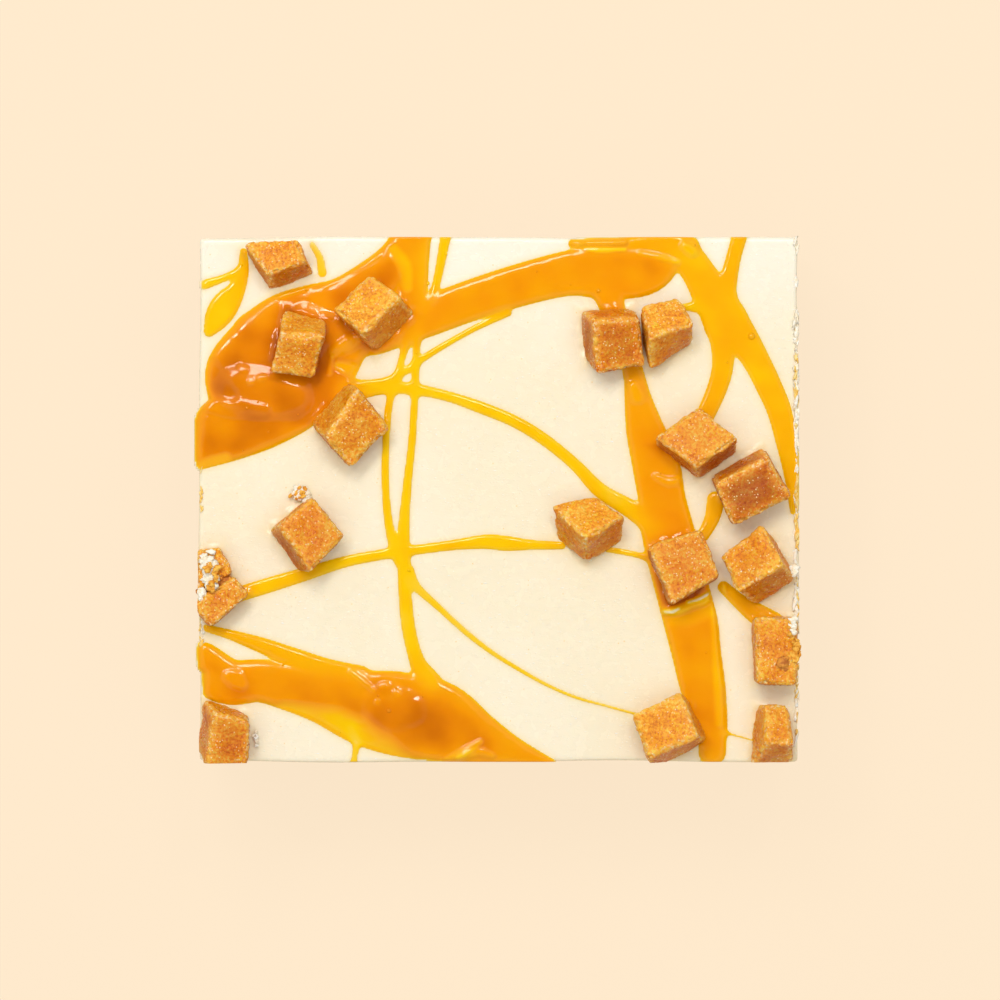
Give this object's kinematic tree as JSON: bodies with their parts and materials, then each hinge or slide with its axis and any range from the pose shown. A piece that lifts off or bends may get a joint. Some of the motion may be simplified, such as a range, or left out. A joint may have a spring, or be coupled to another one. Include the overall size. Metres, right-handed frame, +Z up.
{
  "type": "blondie square",
  "caption": "Cut square of blondie with a slab of set white icing, caramel run over it in bands and fine lines, and fudge cubes pressed into the top.",
  "frame": {"origin": "middle of the underside, on the surface that the square rests on", "axes": "+X along the long side, +Y along the short side away from the front, +Z up through the icing"},
  "size_m": [0.0787, 0.0684, 0.0329],
  "materials": {
    "sponge": "open golden crumb, cut with a knife",
    "icing": "satin set white icing",
    "caramel": "wet glossy caramel, yellow where thin and brown-orange where thick",
    "fudge": "grainy fudge with worn pale edges"
  },
  "bodies": {
    "root": {"blondie_base": "sponge", "white_icing": "icing", "fudge_cube_01": "fudge", "fudge_cube_02": "fudge", "fudge_cube_03": "fudge", "fudge_cube_04": "fudge", "fudge_cube_05": "fudge", "fudge_cube_06": "fudge", "fudge_cube_07": "fudge", "fudge_cube_08": "fudge", "fudge_cube_09": "fudge", "fudge_cube_10": "fudge", "fudge_cube_11": "fudge", "fudge_cube_12": "fudge", "fudge_cube_13": "fudge", "fudge_cube_14": "fudge", "fudge_cube_15": "fudge", "fudge_cube_16": "fudge", "fudge_cube_17": "fudge", "fudge_cube_18": "fudge"}
  },
  "joints": []
}
